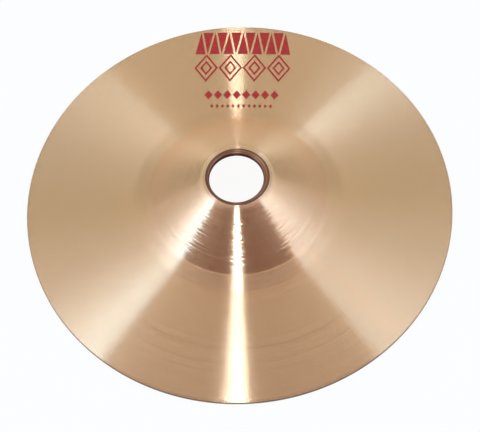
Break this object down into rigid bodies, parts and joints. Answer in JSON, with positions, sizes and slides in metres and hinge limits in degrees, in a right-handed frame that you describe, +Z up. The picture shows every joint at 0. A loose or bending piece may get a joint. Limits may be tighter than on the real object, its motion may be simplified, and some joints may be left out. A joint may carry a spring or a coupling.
{
  "type": "accent cymbal",
  "caption": "Small accent cymbal turned from bronze: a steep bell on a shallow bow, with a thin rim and a plain hole for a stand's rod.",
  "frame": {"origin": "centre of the flat circle that the rim rests on", "axes": "+Z up the axis of the hole, from the rim's rest towards the bell; X and Y lie in the rim's plane"},
  "size_m": [0.1016, 0.1016, 0.0154],
  "materials": {
    "turned_bronze": "bronze with fine concentric turning lines, unlacquered satin"
  },
  "bodies": {
    "root": {"cymbal": "turned_bronze"}
  },
  "joints": []
}
